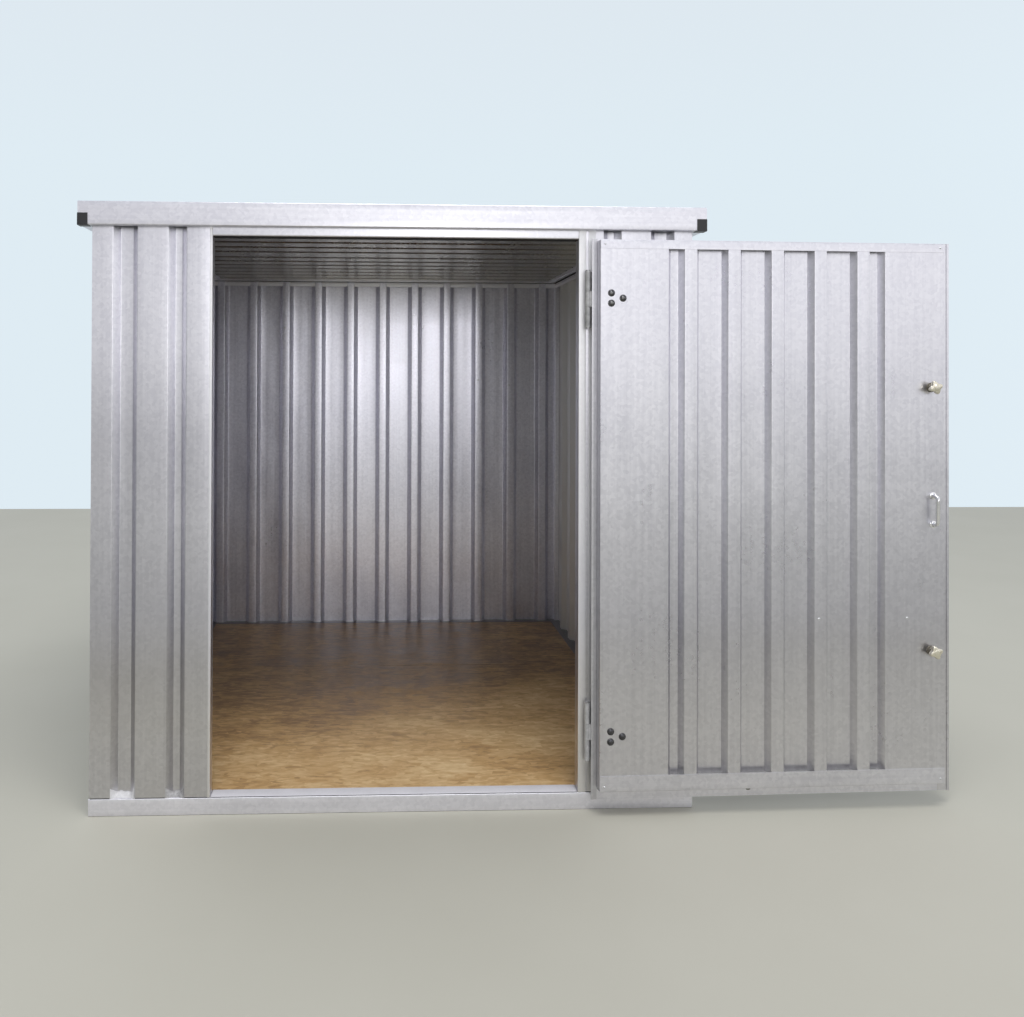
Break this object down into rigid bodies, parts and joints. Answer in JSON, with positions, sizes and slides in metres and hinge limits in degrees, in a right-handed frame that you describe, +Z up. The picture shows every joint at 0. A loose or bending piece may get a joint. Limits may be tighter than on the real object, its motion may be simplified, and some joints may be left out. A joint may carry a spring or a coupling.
{
  "type": "flat pack storage container",
  "caption": "Galvanised sheet-steel storage cabin, square in plan, with ribbed walls, a boarded floor, a flat banded roof and one hinged door, shown swung fully open.",
  "frame": {"origin": "centre of the floor frame's footprint, at ground level, on the underside of the middle floor joist", "axes": "+Z up, -Y out of the doorway, +X to the hinge side, seen from in front"},
  "size_m": [3.0549, 2.1913, 2.101],
  "materials": {
    "frame_galvanised": "galvanised, satin",
    "wall_sheet": "galvanised sheet, satin",
    "roof_sheet": "galvanised sheet, satin",
    "door_sheet": "galvanised sheet, satin",
    "floor_board": "sealed board",
    "seal": "matt",
    "corner_cap": "matt",
    "hinge_zinc": "zinc plated",
    "pin_steel": "plain steel",
    "bolt_dark": "dark, satin",
    "knob_brass": "satin",
    "fittings": "satin"
  },
  "bodies": {
    "cabin": {"floor_frame_front": "frame_galvanised", "floor_frame_back": "frame_galvanised", "floor_frame_left": "frame_galvanised", "floor_frame_right": "frame_galvanised", "floor_joists": "frame_galvanised", "floor_board_front": "floor_board", "floor_board_back": "floor_board", "front_panel_left": "wall_sheet", "front_panel_right": "wall_sheet", "back_wall": "wall_sheet", "left_wall": "wall_sheet", "right_wall": "wall_sheet", "corner_post_front_left": "frame_galvanised", "corner_post_front_right": "frame_galvanised", "corner_post_back_left": "frame_galvanised", "corner_post_back_right": "frame_galvanised", "door_post_left": "frame_galvanised", "door_post_right": "frame_galvanised", "door_lintel": "frame_galvanised", "top_rail_front": "frame_galvanised", "top_rail_back": "frame_galvanised", "top_rail_left": "frame_galvanised", "top_rail_right": "frame_galvanised", "roof_seal": "seal", "roof_frame_front": "frame_galvanised", "roof_frame_back": "frame_galvanised", "roof_frame_left": "frame_galvanised", "roof_frame_right": "frame_galvanised", "roof_sheet_front": "roof_sheet", "roof_sheet_back": "roof_sheet", "roof_corner_caps": "corner_cap", "hinge_frame_top": "hinge_zinc", "hinge_frame_bottom": "hinge_zinc", "hinge_pins": "pin_steel"},
    "door": {"door_sheet": "door_sheet", "door_stile_hinge": "door_sheet", "door_stile_lock": "door_sheet", "door_rail_top": "door_sheet", "door_rail_bottom": "door_sheet", "hinge_strap_top": "hinge_zinc", "hinge_strap_bottom": "hinge_zinc", "hinge_bolts": "bolt_dark", "knobs": "knob_brass", "door_pull_inside": "fittings", "door_pull_outside": "fittings", "lock_covers": "fittings"}
  },
  "joints": [
    {"name": "door_hinge", "type": "hinge", "parent": "cabin", "child": "door", "pos_m": [0.667, -1.064, 0], "axis": [0, 0, 1], "range_deg": [-181.3, 0]}
  ]
}
